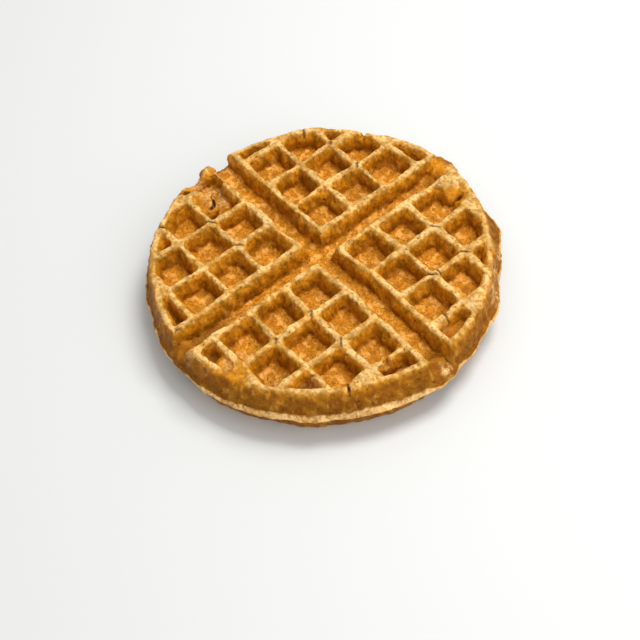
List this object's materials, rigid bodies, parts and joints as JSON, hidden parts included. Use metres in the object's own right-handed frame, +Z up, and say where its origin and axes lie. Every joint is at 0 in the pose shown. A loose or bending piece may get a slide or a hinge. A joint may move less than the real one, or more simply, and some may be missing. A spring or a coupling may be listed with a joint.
{
  "type": "round waffle",
  "caption": "Round thick baked waffle with square pockets in four quarters on both faces, divided by two crossing grooves, and a seam round its edge.",
  "frame": {"origin": "middle of the underside, on the plane that the waffle rests on", "axes": "+Z up through the thickness, the two grooves along X and Y"},
  "size_m": [0.1786, 0.1822, 0.0269],
  "materials": {
    "crust": "golden brown baked crust, satin, paler on the ridges and darker on the pocket walls"
  },
  "bodies": {
    "root": {"waffle": "crust"}
  },
  "joints": []
}
